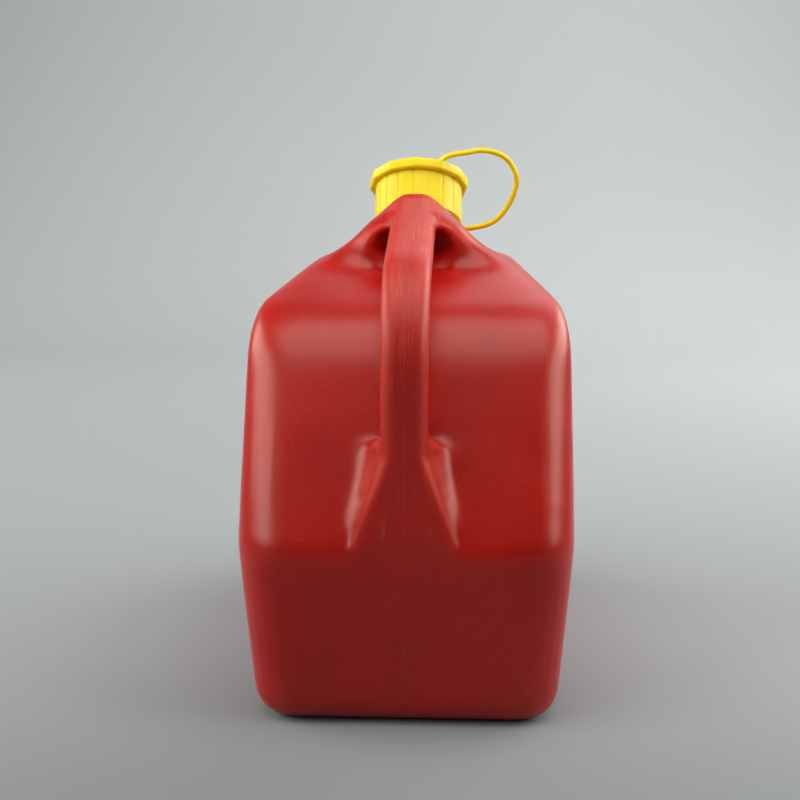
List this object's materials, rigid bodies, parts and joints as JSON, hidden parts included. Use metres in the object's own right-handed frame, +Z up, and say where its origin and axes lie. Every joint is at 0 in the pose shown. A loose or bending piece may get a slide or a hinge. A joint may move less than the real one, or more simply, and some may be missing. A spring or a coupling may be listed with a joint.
{
  "type": "plastic fuel can",
  "caption": "Blow-moulded fuel can with a looped grip, a tilted neck and a ribbed screw cap on a moulded tether.",
  "frame": {"origin": "centre of the base, on the floor that the can stands on", "axes": "+Z up, +Y towards the pouring side that the neck leans to, -Y the handle side, +X the side that the tether loops out on"},
  "size_m": [0.147, 0.265, 0.2525],
  "materials": {
    "red_plastic": "satin, blow-moulded polyethylene",
    "yellow_plastic": "semi-gloss, injection-moulded polyethylene",
    "black_rubber": "matte"
  },
  "bodies": {
    "can": {"can_body": "red_plastic", "tether_neck_ring": "yellow_plastic", "tether_strap_lower": "yellow_plastic"},
    "strap_carrier": {"tether_strap_upper": "yellow_plastic"},
    "tether_end": {"tether_cap_eye": "yellow_plastic"},
    "cap": {"screw_cap": "yellow_plastic", "cap_gasket": "black_rubber"}
  },
  "joints": [
    {"name": "cap_lift", "type": "slide", "parent": "can", "child": "strap_carrier", "axis": [0, 0.4695, 0.8829], "range_m": [0, 0.035], "deforming": ["tether_strap_lower"]},
    {"name": "cap_rise", "type": "slide", "parent": "strap_carrier", "child": "tether_end", "axis": [0, 0.4695, 0.8829], "range_m": [0, 0.008], "deforming": ["tether_strap_upper"]},
    {"name": "cap_turn", "type": "hinge", "parent": "tether_end", "child": "cap", "pos_m": [0, 0.0448, 0.2092], "axis": [0, 0.4695, 0.8829], "range_deg": [0, 720]}
  ],
  "couplings": [
    {"joint": "cap_rise", "follows": "cap_turn", "m_per_rad": 0.0006366}
  ]
}
